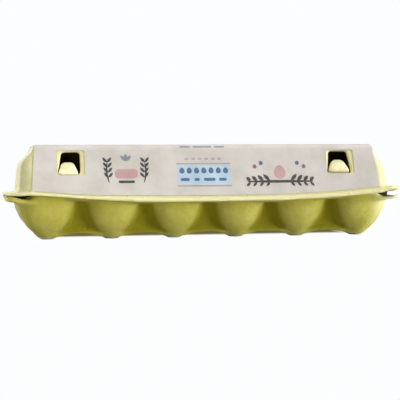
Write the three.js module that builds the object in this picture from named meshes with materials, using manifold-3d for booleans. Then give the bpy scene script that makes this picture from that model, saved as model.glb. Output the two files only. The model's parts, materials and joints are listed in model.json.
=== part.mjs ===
// Shut twelve-egg carton of moulded pulp, with a paper label wrapped over its lid.
// X runs along the rows of cups, the front with the two latches faces -Y, and Z is up.
// The origin is on the floor, under the middle of the carton. All sizes are in millimetres.

import * as THREE from 'three';
import { mergeVertices } from 'three/addons/utils/BufferGeometryUtils.js';
import Module from 'manifold-3d';

const wasm = await Module();
wasm.setup();

// Driving sizes of the tray
const cupsInRow = 6;
const cupPitch = 47.5;
const rowPitch = 46.5;
const rimHeight = 30.4;
const flangeThickness = 1.8;
const trayFlangeHalfLength = 149.6;
const trayFlangeHalfWidth = 49.2;
const flangeCorner = 12;
const flangeOverhang = 8.4;
const flangeDraft = 1.2;
const cupSides = 20;
const mergeDistance = 1e-4;
const curveSteps = 3;

// Cup outline from foot to rim: height, half width, and how square its plan is
const cupOutline = [
  { height: 0, halfWidth: 6.0, squareness: 2.0 },
  { height: 1.4, halfWidth: 7.5, squareness: 2.0 },
  { height: 5, halfWidth: 10.3, squareness: 2.1 },
  { height: 9, halfWidth: 14.6, squareness: 2.2 },
  { height: 13, halfWidth: 17.8, squareness: 2.3 },
  { height: 19, halfWidth: 20.9, squareness: 2.4 },
  { height: 29.4, halfWidth: 23.7, squareness: 2.6 },
];

// Wall in the valley between two cups, and the rib along its lower edge
const valleyTopOutset = 13.5;
const valleyFootOutset = 4.5;
const valleyThickness = 9;
const valleyEndGap = 1;
const ribHeight = 7.4;
const ribEndGap = 4;
const ribFront = 7.3;
const ribThickness = 4.8;
const archMiddle = 3.2;
const archFoot = 1.2;
const archHalfSpan = 18;
const archSteps = 6;

// Driving sizes of the lid
const lidRootHeight = 36.2;
const faceLean = 0.4;
const hangDrop = 6.6;
const hangCentre = 8;
const hangHalfLength = 138;
const hangFlatness = 3;
const hangRounding = 1.6;
const frontStart = 26;
const frontEnd = 44;
const lidTop = 70.2;
const lidTilt = 0.045;
const lidFlangeHalfLength = 150;
const lidFlangeHalfWidth = 51.6;
const lidFlangeThickness = 1.5;
const lidFlangeDrop = 1.9;
const lidFlangeCorner = 13;
const lidFlangeRoot = 1;
const frontFlangeDip = 1.5;
const coreHalfLength = 139;
const coreHalfWidth = 45.6;
const coreCorner = 10;
const coreOverlap = 1;
const longSteps = 16;
const shortSteps = 2;
const cornerSteps = 4;

// Lid outline from root to top: height, half length, half width and corner radius
const lidOutline = [
  { height: lidRootHeight, halfLength: 140.6, halfWidth: 46.8, corner: 12 },
  { height: 49, halfLength: 138.9, halfWidth: 41.7, corner: 9 },
  { height: 56, halfLength: 136.8, halfWidth: 38.9, corner: 7 },
  { height: 60.2, halfLength: 133.9, halfWidth: 37.2, corner: 5 },
  { height: 66.4, halfLength: 130.4, halfWidth: 34.7, corner: 3 },
  { height: 68.8, halfLength: 130, halfWidth: 32.7, corner: 2.5 },
  { height: lidTop, halfLength: 129.4, halfWidth: 29.2, corner: 2 },
];

// Hinge roll along the back: how far its crease stands out and up, and its foot and shoulder
const hingeHalfLength = 134;
const hingeInner = 44.5;
const hingeReach = 51.5;
const hingeFoot = 49.5;
const hingeBulge = 30.4;
const hingeCrown = 32;
const hingeShoulder = 48.6;
const hingeShoulderHeight = 32.2;
const hingeTop = 33.4;

// Latch windows in the front of the lid: narrower at the top than at the foot
const windowSpacing = 205;
const latchWindow = { topWidth: 13, footWidth: 17.8, low: 48, high: 64.6 };
const windowDepth = 13;
const windowCorner = 2;
const windowReach = 12;

// Tongue that hooks into a latch window: widths at its lip and tip
const tongueLipHeight = 50;
const tongueLipWidth = 14;
const tongueTipHeight = 59.2;
const tongueTipWidth = 7.8;

// Side outline of a tongue: height, and how far out in front of the lid's face
const tongueOutline = [
  { height: 46, proud: -6.5 },
  { height: 46, proud: -3.4 },
  { height: 49.4, proud: -1.4 },
  { height: 49.8, proud: 1.2 },
  { height: 50.8, proud: 1.9 },
  { height: 52.2, proud: 1.6 },
  { height: 55.2, proud: 0.6 },
  { height: 58.6, proud: -1.2 },
  { height: tongueTipHeight, proud: -2.4 },
  { height: 58, proud: -4.2 },
  { height: 54, proud: -5.5 },
];

// Paper label: a sheet over the front, top and back of the lid
const labelTopHalfLength = 128.5;
const labelFootHalfLength = 131.3;
const labelGap = 0.3;
const labelThickness = 0.35;
const labelFrontHeight = 37.4;
const labelBackHeight = 40;
const labelSteps = 20;
const labelCutOut = { topWidth: 21.3, footWidth: 21.3, low: 47.2, high: 65.6 };

// Colours of the finished surfaces
const pulpColour = '#a9a350';
const labelColour = '#d3ccc4';

// Closed solid through a stack of rings that have equal numbers of points
function loft(rings) {
  const sides = rings[0].length;
  const positions = [];
  const triangles = [];
  for (const ring of rings) {
    for (const point of ring) positions.push(point.x, point.y, point.z);
  }
  for (let level = 0; level + 1 < rings.length; level += 1) {
    for (let side = 0; side < sides; side += 1) {
      const next = (side + 1) % sides;
      const low = level * sides;
      const high = low + sides;
      triangles.push(low + side, low + next, high + next);
      triangles.push(low + side, high + next, high + side);
    }
  }
  const bottom = rings[0];
  const top = rings[rings.length - 1];
  const bottomCentre = positions.length / 3;
  const topCentre = bottomCentre + 1;
  for (const ring of [bottom, top]) {
    const centre = new THREE.Vector3();
    for (const point of ring) centre.add(point);
    centre.divideScalar(sides);
    positions.push(centre.x, centre.y, centre.z);
  }
  const topStart = (rings.length - 1) * sides;
  for (let side = 0; side < sides; side += 1) {
    const next = (side + 1) % sides;
    triangles.push(bottomCentre, next, side);
    triangles.push(topCentre, topStart + side, topStart + next);
  }
  const geometry = new THREE.BufferGeometry();
  geometry.setAttribute('position', new THREE.Float32BufferAttribute(positions, 3));
  geometry.setIndex(triangles);
  return geometry;
}

// Manifold solid of a closed geometry
function solid(geometry) {
  geometry.deleteAttribute('normal');
  geometry.deleteAttribute('uv');
  const merged = mergeVertices(geometry, mergeDistance);
  return new wasm.Manifold(new wasm.Mesh({
    numProp: 3,
    vertProperties: new Float32Array(merged.attributes.position.array),
    triVerts: new Uint32Array(merged.index.array),
  }));
}

function geometryOf(body) {
  const mesh = body.getMesh();
  const geometry = new THREE.BufferGeometry();
  geometry.setAttribute('position', new THREE.BufferAttribute(mesh.vertProperties, 3));
  geometry.setIndex(new THREE.BufferAttribute(mesh.triVerts, 1));
  const flat = geometry.toNonIndexed();
  flat.computeVertexNormals();
  return flat;
}

function join(bodies) {
  return bodies.reduce((whole, body) => whole.add(body));
}

// Ring of a cup: a superellipse that is round at the foot and squarer at the rim
function cupRing(centreX, centreY, level) {
  const ring = [];
  for (let side = 0; side < cupSides; side += 1) {
    const angle = ((side + 0.5) / cupSides) * 2 * Math.PI;
    const power = 2 / level.squareness;
    const across = Math.sign(Math.cos(angle)) * Math.abs(Math.cos(angle)) ** power;
    const along = Math.sign(Math.sin(angle)) * Math.abs(Math.sin(angle)) ** power;
    ring.push(new THREE.Vector3(
      centreX + level.halfWidth * across,
      centreY + level.halfWidth * along,
      level.height,
    ));
  }
  return ring;
}

// Ring of a rounded rectangle, with equal numbers of points on every ring
function rectangleRing(halfLength, halfWidth, corner, height) {
  const ring = [];
  const straightX = halfLength - corner;
  const straightY = halfWidth - corner;
  const sides = [
    { x: straightX, y: -straightY, turn: -0.5, steps: shortSteps, run: [0, 1] },
    { x: straightX, y: straightY, turn: 0, steps: longSteps, run: [-1, 0] },
    { x: -straightX, y: straightY, turn: 0.5, steps: shortSteps, run: [0, -1] },
    { x: -straightX, y: -straightY, turn: 1, steps: longSteps, run: [1, 0] },
  ];
  for (const side of sides) {
    for (let step = 0; step <= cornerSteps; step += 1) {
      const angle = (side.turn + 0.5 * (step / cornerSteps)) * Math.PI;
      ring.push(new THREE.Vector3(
        side.x + corner * Math.cos(angle),
        side.y + corner * Math.sin(angle),
        height,
      ));
    }
    const start = ring[ring.length - 1];
    const length = 2 * (side.run[0] === 0 ? straightY : straightX);
    for (let step = 1; step < side.steps; step += 1) {
      const way = length * (step / side.steps);
      ring.push(new THREE.Vector3(
        start.x + side.run[0] * way,
        start.y + side.run[1] * way,
        height,
      ));
    }
  }
  return ring;
}

// How far the lower front edge of the lid hangs down at one place along the carton
function hang(x) {
  const share = Math.min(1, Math.abs((x - hangCentre) / hangHalfLength));
  return hangDrop * (1 - share ** hangFlatness) ** hangRounding;
}

// Share of the hang that a point takes: all on the front, none on the ends and back
function frontShare(y) {
  return THREE.MathUtils.smoothstep(-y, frontStart, frontEnd);
}

function hung(ring) {
  return ring.map((point) => {
    const drop = hang(point.x) * frontShare(point.y);
    return new THREE.Vector3(point.x, point.y - faceLean * drop, point.z - drop);
  });
}

// Outline across a valley: straight at the top, arched between the feet at the bottom
function archOutline(halfSpan, top) {
  const outline = new THREE.Shape();
  outline.moveTo(halfSpan, top);
  outline.lineTo(-halfSpan, top);
  outline.lineTo(-halfSpan, archFoot);
  for (let step = 0; step <= archSteps; step += 1) {
    const share = (2 * step) / archSteps - 1;
    const rise = (archMiddle - archFoot) * (1 - share ** 2);
    outline.lineTo(archHalfSpan * share, archFoot + rise);
  }
  outline.lineTo(halfSpan, archFoot);
  return outline;
}

// Wall that closes the valley between two cups, further out at the rim than at the foot
function valleyWall() {
  const top = rimHeight - flangeThickness;
  const outline = archOutline(cupPitch / 2 - valleyEndGap, top);
  const wall = new THREE.ExtrudeGeometry(outline, { depth: 1, bevelEnabled: false });
  const places = wall.attributes.position;
  for (let index = 0; index < places.count; index += 1) {
    const height = places.getY(index);
    const outset = THREE.MathUtils.lerp(valleyFootOutset, valleyTopOutset, height / top);
    const inwards = places.getZ(index) > 0 ? 0 : valleyThickness;
    places.setXYZ(index, places.getX(index), inwards - outset, height);
  }
  return wall;
}

// Rib along the foot of the valley wall, whose top is the small ledge in the valley
function valleyRib() {
  const outline = archOutline(cupPitch / 2 - ribEndGap, ribHeight);
  const rib = new THREE.ExtrudeGeometry(outline, { depth: ribThickness, bevelEnabled: false });
  rib.rotateX(Math.PI / 2);
  rib.translate(0, ribThickness - ribFront, 0);
  return rib;
}

// Wall and rib of one valley, turned to its side of the tray and moved along it
function valley(outwards, along, turn) {
  return [valleyWall(), valleyRib()].map((part) => {
    part.translate(along, -outwards, 0);
    part.rotateZ(turn);
    return solid(part);
  });
}

function trayParts() {
  const parts = [];
  const rowY = rowPitch / 2;
  const endX = ((cupsInRow - 1) / 2) * cupPitch;
  for (let column = 0; column < cupsInRow; column += 1) {
    const cupX = column * cupPitch - endX;
    for (const cupY of [-rowY, rowY]) {
      parts.push(solid(loft(cupOutline.map((level) => cupRing(cupX, cupY, level)))));
    }
  }
  for (let gap = 1; gap < cupsInRow; gap += 1) {
    const along = (gap - cupsInRow / 2) * cupPitch;
    parts.push(...valley(rowY, along, 0), ...valley(rowY, along, Math.PI));
  }
  parts.push(...valley(endX, 0, -Math.PI / 2), ...valley(endX, 0, Math.PI / 2));
  const low = rimHeight - flangeThickness;
  const innerHalfLength = trayFlangeHalfLength - flangeOverhang;
  const innerHalfWidth = trayFlangeHalfWidth - 2 * flangeDraft;
  parts.push(solid(loft([
    rectangleRing(innerHalfLength, innerHalfWidth, flangeCorner, low - flangeDraft),
    rectangleRing(trayFlangeHalfLength, trayFlangeHalfWidth, flangeCorner, low),
    rectangleRing(trayFlangeHalfLength, trayFlangeHalfWidth, flangeCorner, rimHeight),
  ])));
  return parts;
}

// The lid stands a little open: it is low at its hinge and level with the front's heights
function settle(y) {
  return lidTilt * (y + lidOutline[0].halfWidth);
}

function settled(ring) {
  return ring.map((point) => new THREE.Vector3(point.x, point.y, point.z - settle(point.y)));
}

function dipped(ring, dip) {
  return ring.map((point) => (
    new THREE.Vector3(point.x, point.y, point.z - dip * frontShare(point.y))
  ));
}

// Flange of the lid, whose front part turns down over the rim of the tray
function lidFlange() {
  const root = lidOutline[0];
  const low = lidRootHeight - lidFlangeDrop;
  const high = low + lidFlangeThickness;
  const tip = (height) => (
    rectangleRing(lidFlangeHalfLength, lidFlangeHalfWidth, lidFlangeCorner, height)
  );
  const rootLength = root.halfLength + lidFlangeRoot;
  const rootWidth = root.halfWidth + lidFlangeRoot;
  return loft([
    hung(dipped(rectangleRing(coreHalfLength, coreHalfWidth, coreCorner, low), frontFlangeDip)),
    hung(dipped(tip(low), frontFlangeDip)),
    hung(dipped(tip(high), frontFlangeDip)),
    hung(rectangleRing(rootLength, rootWidth, root.corner, lidRootHeight)),
    hung(rectangleRing(coreHalfLength, coreHalfWidth, coreCorner, lidRootHeight + coreOverlap)),
  ].map(settled));
}

// Lid with its flange: the core reaches down to the tray between the two flanges
function lidParts() {
  const core = [
    rectangleRing(coreHalfLength, coreHalfWidth, coreCorner, rimHeight - coreOverlap),
    settled(rectangleRing(coreHalfLength, coreHalfWidth, coreCorner, lidRootHeight + coreOverlap)),
  ];
  const shell = lidOutline.map((level, index) => {
    const ring = rectangleRing(level.halfLength, level.halfWidth, level.corner, level.height);
    return settled(index === 0 ? hung(ring) : ring);
  });
  return [solid(loft(core)), solid(loft(shell)), solid(lidFlange())];
}

// Hinge along the back, where the tray and the lid are one sheet of pulp
function hinge() {
  const low = rimHeight - flangeThickness;
  const outline = new THREE.Shape();
  outline.moveTo(hingeInner, low);
  outline.lineTo(hingeFoot, low);
  outline.quadraticCurveTo(hingeReach, low, hingeReach, hingeBulge);
  outline.quadraticCurveTo(hingeReach, hingeCrown, hingeShoulder, hingeShoulderHeight);
  outline.lineTo(lidOutline[0].halfWidth, hingeTop);
  outline.lineTo(hingeInner, hingeTop);
  const roll = new THREE.ExtrudeGeometry(outline, {
    depth: 2 * hingeHalfLength, bevelEnabled: false, curveSegments: curveSteps,
  });
  roll.rotateX(Math.PI / 2);
  roll.rotateZ(Math.PI / 2);
  roll.translate(-hingeHalfLength, 0, 0);
  return solid(roll);
}

// Half width of the lid at a height, on its straight front and back
function lidHalfWidth(height) {
  for (let level = 1; level < lidOutline.length; level += 1) {
    const low = lidOutline[level - 1];
    const high = lidOutline[level];
    if (height <= high.height) {
      const share = (height - low.height) / (high.height - low.height);
      return low.halfWidth + share * (high.halfWidth - low.halfWidth);
    }
  }
  return lidOutline[lidOutline.length - 1].halfWidth;
}

// Outline of an opening with rounded corners, which may be narrower at the top
function openingShape(opening) {
  const radius = windowCorner;
  const foot = opening.footWidth / 2;
  const top = opening.topWidth / 2;
  const lean = ((foot - top) * radius) / (opening.high - opening.low);
  const outline = new THREE.Shape();
  outline.moveTo(-foot + radius, opening.low);
  outline.lineTo(foot - radius, opening.low);
  outline.quadraticCurveTo(foot, opening.low, foot - lean, opening.low + radius);
  outline.lineTo(top + lean, opening.high - radius);
  outline.quadraticCurveTo(top, opening.high, top - radius, opening.high);
  outline.lineTo(-top + radius, opening.high);
  outline.quadraticCurveTo(-top, opening.high, -top - lean, opening.high - radius);
  outline.lineTo(-foot + lean, opening.low + radius);
  outline.quadraticCurveTo(-foot, opening.low, -foot + radius, opening.low);
  return outline;
}

// Block that cuts an opening, from in front of the lid to a depth behind its face
function openingCut(centreX, opening) {
  const block = new THREE.ExtrudeGeometry(openingShape(opening), {
    depth: windowReach + windowDepth, bevelEnabled: false, curveSegments: curveSteps,
  });
  const faceY = -lidHalfWidth((latchWindow.low + latchWindow.high) / 2);
  block.rotateX(Math.PI / 2);
  block.translate(centreX, faceY + windowDepth, -settle(faceY));
  return solid(block);
}

// Tongue of the tray that stands in a latch window and noses out over its lower edge
function tongue(centreX) {
  const side = new THREE.Shape(tongueOutline.map(({ height, proud }) => (
    new THREE.Vector2(-lidHalfWidth(height) - proud, height)
  )));
  const body = new THREE.ExtrudeGeometry(side, { depth: 1, bevelEnabled: false });
  const places = body.attributes.position;
  for (let index = 0; index < places.count; index += 1) {
    const y = places.getX(index);
    const height = places.getY(index);
    const rise = (height - tongueLipHeight) / (tongueTipHeight - tongueLipHeight);
    const share = THREE.MathUtils.clamp(rise, 0, 1);
    const halfWidth = THREE.MathUtils.lerp(tongueLipWidth, tongueTipWidth, share) / 2;
    const across = places.getZ(index) > 0 ? halfWidth : -halfWidth;
    places.setXYZ(index, centreX + across, y, height - settle(y));
  }
  return solid(body);
}

function cartonGeometry() {
  let carton = join([...trayParts(), ...lidParts(), hinge()]);
  for (const side of [-1, 1]) {
    const centreX = (side * windowSpacing) / 2;
    carton = carton.subtract(openingCut(centreX, latchWindow)).add(tongue(centreX));
  }
  return geometryOf(carton);
}

// Section of the label at one place: from its front edge over the top to its back edge
function labelSection(x, offset) {
  const frontHeight = labelFrontHeight - hang(x);
  const section = [];
  const rootWidth = lidOutline[0].halfWidth;
  const lean = (height) => rootWidth + faceLean * (lidRootHeight - height);
  section.push([-lean(frontHeight) - offset, frontHeight]);
  section.push([-lidOutline[1].halfWidth - offset, lidOutline[1].height]);
  for (const level of lidOutline.slice(2, -1)) {
    section.push([-level.halfWidth - offset, level.height + offset * faceLean]);
  }
  const top = lidOutline[lidOutline.length - 1];
  section.push([-top.halfWidth, top.height + offset]);
  section.push([top.halfWidth, top.height + offset]);
  for (const level of lidOutline.slice(2, -1).reverse()) {
    section.push([level.halfWidth + offset, level.height + offset * faceLean]);
  }
  section.push([lidOutline[1].halfWidth + offset, lidOutline[1].height]);
  section.push([lidHalfWidth(labelBackHeight) + offset, labelBackHeight]);
  return section;
}

// Half length of the label at a height: it is a little longer at its lower edges
function labelHalfLength(height) {
  const share = (height - labelFrontHeight) / (lidTop - labelFrontHeight);
  return THREE.MathUtils.lerp(labelFootHalfLength, labelTopHalfLength, Math.min(1, share));
}

// Rings across the label, each the outline of its section from edge to edge
function labelRings() {
  const rings = [];
  for (let step = 0; step <= labelSteps; step += 1) {
    const share = (2 * step) / labelSteps - 1;
    const inner = labelSection(share * labelFootHalfLength, labelGap);
    const outer = labelSection(share * labelFootHalfLength, labelGap + labelThickness);
    const outline = [...inner, ...outer.reverse()];
    rings.push(settled(outline.map(([y, z]) => (
      new THREE.Vector3(share * labelHalfLength(z), y, z)
    ))));
  }
  return rings;
}

// The label's ends aren't star-shaped, so each is closed by quads across its thickness
function labelSolid() {
  const rings = labelRings();
  const sides = rings[0].length;
  const half = sides / 2;
  const positions = rings.flat().flatMap((point) => [point.x, point.y, point.z]);
  const triangles = [];
  for (let level = 0; level + 1 < rings.length; level += 1) {
    for (let side = 0; side < sides; side += 1) {
      const next = (side + 1) % sides;
      const low = level * sides;
      const high = low + sides;
      triangles.push(low + side, low + next, high + next);
      triangles.push(low + side, high + next, high + side);
    }
  }
  const last = (rings.length - 1) * sides;
  for (let side = 0; side + 1 < half; side += 1) {
    const across = sides - 1 - side;
    triangles.push(side, across, across - 1, side, across - 1, side + 1);
    triangles.push(last + side, last + across - 1, last + across);
    triangles.push(last + side, last + side + 1, last + across - 1);
  }
  const geometry = new THREE.BufferGeometry();
  geometry.setAttribute('position', new THREE.Float32BufferAttribute(positions, 3));
  geometry.setIndex(triangles);
  let label = solid(geometry);
  for (const side of [-1, 1]) {
    const centreX = (side * windowSpacing) / 2;
    label = label.subtract(openingCut(centreX, labelCutOut));
  }
  return geometryOf(label);
}

// The front flange hangs outwards by this much, so the whole moves back by half of it
const eggCarton = new THREE.Group();
eggCarton.position.y = (faceLean * hangDrop) / 2;

const carton = new THREE.Mesh(
  cartonGeometry(),
  new THREE.MeshStandardMaterial({ color: pulpColour, roughness: 0.95, metalness: 0 }),
);
carton.name = 'carton';
eggCarton.add(carton);

const label = new THREE.Mesh(
  labelSolid(),
  new THREE.MeshStandardMaterial({ color: labelColour, roughness: 0.7, metalness: 0 }),
);
label.name = 'label';
eggCarton.add(label);

export default eggCarton;
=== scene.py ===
import json
import math

import bpy
import numpy as np
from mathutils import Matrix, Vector, noise
from mathutils.geometry import delaunay_2d_cdt

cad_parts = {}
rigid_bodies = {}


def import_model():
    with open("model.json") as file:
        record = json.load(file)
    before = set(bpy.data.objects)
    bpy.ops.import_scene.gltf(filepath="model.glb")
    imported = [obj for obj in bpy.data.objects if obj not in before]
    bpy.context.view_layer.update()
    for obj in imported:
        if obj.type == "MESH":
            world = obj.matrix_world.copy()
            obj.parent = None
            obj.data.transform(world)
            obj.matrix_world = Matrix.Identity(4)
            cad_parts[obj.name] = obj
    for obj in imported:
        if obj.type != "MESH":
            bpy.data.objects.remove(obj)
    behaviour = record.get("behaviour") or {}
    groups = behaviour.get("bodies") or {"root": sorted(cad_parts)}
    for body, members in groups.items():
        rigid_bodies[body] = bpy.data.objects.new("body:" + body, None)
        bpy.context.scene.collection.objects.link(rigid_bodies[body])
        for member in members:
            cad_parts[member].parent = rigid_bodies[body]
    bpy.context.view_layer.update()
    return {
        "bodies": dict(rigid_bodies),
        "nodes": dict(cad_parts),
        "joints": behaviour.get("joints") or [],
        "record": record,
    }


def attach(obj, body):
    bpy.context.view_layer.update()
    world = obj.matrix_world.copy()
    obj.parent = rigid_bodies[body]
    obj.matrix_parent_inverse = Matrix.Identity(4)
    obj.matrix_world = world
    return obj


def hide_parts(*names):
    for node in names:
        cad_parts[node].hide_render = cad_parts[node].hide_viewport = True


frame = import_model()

# Sizes are in millimetres, as in the solids, and become metres when a mesh is made
MM = 0.001

# Tray
CUPS_IN_ROW = 6
CUP_PITCH = 47.5
ROW_PITCH = 46.5
RIM_HEIGHT = 30.4
FLANGE_THICKNESS = 1.9
TRAY_FLANGE_HALF = (149.6, 49.2)
FLANGE_CORNER = 12
FLANGE_OVERHANG = 8.4
FRONT_RIM = 47.2
FRONT_WALL_HALF = 129
END_X = (CUPS_IN_ROW - 1) / 2 * CUP_PITCH
ROW_Y = ROW_PITCH / 2
CUP_SIDE_INSET = 1.5
CUP_INSET_HEIGHTS = (4, 26)
CUP_SIDES = 48
CUP_LEVELS = 18
CUP_HEIGHTS = (0, 1.4, 5, 9, 13, 19, 29.4)
CUP_HALF_WIDTHS = (4.8, 7.4, 10.9, 15.2, 18.2, 21.0, 23.7)
CUP_SQUARENESS = (2.0, 2.0, 2.1, 2.2, 2.3, 2.4, 2.6)
CUP_BEHIND_LIP = 1.2
FLANGE_DRAFT = 1.2
FLANGE_MIDDLE_INSET = 20
FLANGE_MIDDLE_WIDTH = 28
# In front the rim rises behind the lid's lip, up to these places near both ends
RIM_BEHIND_LIP = 0.3
RIM_RISE_ENDS = (120, 129)

# Valley walls between the cups, and the ribs at their feet
VALLEY_TOP_OUTSET = 12
VALLEY_FOOT_OUTSET = 4.5
VALLEY_THICKNESS = 9
VALLEY_HALF_SPAN = CUP_PITCH / 2 - 1
RIB_HALF_SPAN = CUP_PITCH / 2 - 4
RIB_HEIGHT = 7.4
RIB_FRONT = 7.3
RIB_THICKNESS = 4.8
ARCH_MIDDLE = 4.0
ARCH_FOOT = 1.3
ARCH_HALF_SPAN = 18

# Lid
ROOT_HEIGHT = 36.2
FACE_LEAN = 0.4
HANG_DROP = 6.6
HANG_CENTRE = 8
HANG_HALF_LENGTH = 146
HANG_FLATNESS = 3
HANG_ROUNDING = 1.6
LID_TOP = 70.2
LID_TILT = 0.045
LID_FLANGE_HALF = (150, 51.6)
LID_FLANGE_DROP = 1.9
LID_FLANGE_THICKNESS = 1.6
FRONT_FLANGE_DIP = 1.5
LIP_RAISE = 1.7
LIP_SLOPE = 0.003
LEFT_LIP_THINNING = 1.7
LEFT_THINNING_RANGE = (45, 105)
# How far in front of the middle the shapes of the front begin and are complete
FRONT_RANGE = (26, 44)
CORE_HALF = (141, 45.6)
CORE_CORNER = 10
CORE_FRONT = 38
ROOT_HALF_WIDTH = 46.8
FOLD_RADIUS = 6
LID_HEIGHTS = (36.2, 49, 56, 60.2, 66.4, 68.8, 70.2)
LID_HALF_LENGTHS = (140.6, 138.9, 136.8, 133.9, 130.4, 130.0, 129.4)
LEFT_END_HEIGHTS = (36.2, 49, 56, 58.5, 60.5, 62.5, 65.6, 68.5, 70.2)
LEFT_END_LENGTHS = (140.6, 139.4, 138.6, 137.6, 136.0, 133.8, 130.6, 129.8, 129.2)
LEFT_END_RANGE = (100, 126)
# Heights of the lid's rings, close together over its round fold
LID_LEVELS = (ROOT_HEIGHT, 38, 40, *np.linspace(43, 65, 12), *np.linspace(65.8, LID_TOP, 9))
LID_CORNERS = (12, 9, 7, 5, 3.4, 3, 2.6)
HINGE_HALF_LENGTH = 134
HINGE_OUTLINE = (
    (44.5, 28.6), (49.5, 28.6), (50.9, 29.1), (51.4, 30.2), (51.0, 31.4), (49.9, 32.0),
    (48.6, 32.2), (46.8, 33.4), (44.5, 33.4),
)

# Points of the rings
RING_STEP = 3.0
CORNER_STEPS = 10

# Bent front tips of the flanges: height at the left and the right end, and where the bend runs
TRAY_TIP_LOW = (0.8, 0.6, 141, 146)
TRAY_TIP_HIGH = (2.9, 1.4, 141, 146)
LID_TIP = (-0.6, 2.1, 132, 143)

# Surface of the pulp: finest step of each shape, rounds of smoothing, and (wavelength, height) of its waves
TRAY_STEP = 1.1
LID_STEP = 1.0
TONGUE_STEP = 0.4
TRAY_ROUNDS = 5
LID_ROUNDS = 3
TONGUE_ROUNDS = 3
SMOOTHING = 0.5
TRAY_WAVES = ((26, 0.5), (7, 0.16), (2.4, 0.07))
LID_WAVES = ((34, 0.3), (8, 0.12), (2.4, 0.06))
TONGUE_WAVES = ((5, 0.3), (1.8, 0.1))
LONGEST_HALF = LID_FLANGE_HALF[0] - 0.1
FLATTENED_FEET = 0.35

# Painted shade and painted light on the pulp, from 0 to 1, and the stretches over which they change
# Painted shade in the valleys between the cups, and a flat painted shade in the middle between the two rows
VALLEY_RANGE = (0.1, 0.44)
MIDDLE_PAINTED_SHADE = 0.35
# The painted shade fades out towards the feet
FOOT_SHADE_FADE_HEIGHTS = (1, 6)
# Painted highlight round the feet, as from the floor's bounced light
FOOT_PAINTED_LIGHT = 0.5
FOOT_PAINTED_LIGHT_HEIGHTS = (0.5, 3)
# The lid's lip shades the cups down to this depth, in front and between the ends
LIP_SHADE = 0.5
LIP_SHADE_DEPTH = 8.5
LIP_SHADE_FRONT = 34
LIP_SHADE_END = 136
# Painted highlight towards the right ends of the tray and the lid, which face the key light
TRAY_RIGHT_PAINTED_LIGHT = 0.6
TRAY_RIGHT_RANGE = (122, 140)
LID_RIGHT_PAINTED_LIGHT = 0.35
LID_RIGHT_RANGE = (122, 138)
# Painted highlight on the lid's lip, which faces up into the light
LIP_PAINTED_LIGHT = 0.6
LIP_PAINTED_LIGHT_HEIGHTS = (0.4, 2.0)
# Painted highlight on the pulp frames round the windows
FRAME_PAINTED_LIGHT = 0.9
# Painted shade in the slot between the flanges and in the hollows behind the windows
FLANGE_PAINTED_SHADE_RANGE = (3.0, 8.0)
WINDOW_PAINTED_SHADE_RANGE = (2.0, 5.5)
WINDOW_PAINTED_SHADE_HEIGHTS = (44, 67)
WINDOW_PAINTED_SHADE_REACH = 9

# Latch windows and tongues
WINDOW_CORNER = 2
WINDOW_MIDDLE = 56.3
# Depths behind the lid's face, each with how much wider the window is there
WINDOW_DEPTHS = ((4, -0.2), (0.6, 0.0), (-1.4, 1.2), (-12, 1.2))
# Hollow behind a window: its outline about the window's middle, and its depths
HOLLOW = ((-10, 45), (10, 45), (10, 65), (-10, 65))
HOLLOW_NEAR = 3.4
HOLLOW_FAR = 20
# Low and high edges of each opening, then its left and right at the foot and at the top
LEFT_WINDOW = (48.4, 65.2, -112.3, -95.8, -109.2, -95.6)
RIGHT_WINDOW = (48.2, 65.6, 91.4, 111.0, 94.2, 108.2)
LEFT_CUT_OUT = (48.0, 66.4, -113.1, -92.2, -113.0, -92.1)
RIGHT_CUT_OUT = (47.9, 66.3, 91.2, 113.0, 91.4, 112.8)
# Side outline of a tongue: height, and how far out in front of the lid's face
TONGUE_OUTLINE = (
    (46.2, -6.3), (46.2, -3.6), (49.2, -1.6), (49.7, 1.0), (50.7, 1.7), (52.2, 1.5),
    (55.2, 0.5), (58.4, -1.2), (59.0, -2.4), (57.8, -4.0), (54.0, -5.3),
)
TONGUE_HEIGHTS = (50.0, 59.2)
TONGUE_SECTIONS = (-1, -0.94, -0.8, -0.5, 0, 0.5, 0.8, 0.94, 1)
# Each tongue: name, middle in X, widths at its foot and tip, and how much lower it stands
TONGUES = (
    ("tongue_left", -104.6, (14.8, 8.6), 1.2),
    ("tongue_right", 100.9, (16.2, 8.6), 0.2),
)

# Label
LABEL_TOP_ENDS = (-128.4, 128.6)
LABEL_FOOT_ENDS = (-131.2, 131.2)
LABEL_GAP = 0.34
LABEL_SINK = 0.05
LABEL_THICKNESS = 0.26
SHEET_STEP = 3.0
LEAST_GAP = 0.5
SHARP_EDGE = 40
LABEL_FRONT_HEIGHT = 37.4
LABEL_BACK_HEIGHT = 40

# The front flange hangs outwards, so the whole is set back by half of that
SET_BACK = FACE_LEAN * HANG_DROP / 2
FACE_ANGLE = math.atan(FACE_LEAN)

# Round fold between the faces and the top of the lid
BEND = math.pi / 2 - FACE_ANGLE
TANGENT = FOLD_RADIUS * math.tan(BEND / 2)
FOLD_START = LID_TOP - TANGENT * math.cos(FACE_ANGLE)
FOLD_CENTRE = ROOT_HALF_WIDTH - FACE_LEAN * (LID_TOP - ROOT_HEIGHT) - TANGENT


def smooth_curve(x, places, values):
    """Value at x of a smooth curve through the given points."""
    places = np.asarray(places, float)
    values = np.asarray(values, float)
    slopes = np.gradient(values, places)
    index = np.clip(np.searchsorted(places, x) - 1, 0, len(places) - 2)
    step = places[index + 1] - places[index]
    t = np.clip((x - places[index]) / step, 0, 1)
    start = (1 + 2 * t) * (1 - t) ** 2 * values[index] + t * (1 - t) ** 2 * step * slopes[index]
    end = t * t * (3 - 2 * t) * values[index + 1] + t * t * (t - 1) * step * slopes[index + 1]
    return start + end


def smooth_step(value, low, high):
    share = np.clip((value - low) / (high - low), 0, 1)
    return share * share * (3 - 2 * share)


# Mesh building

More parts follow.
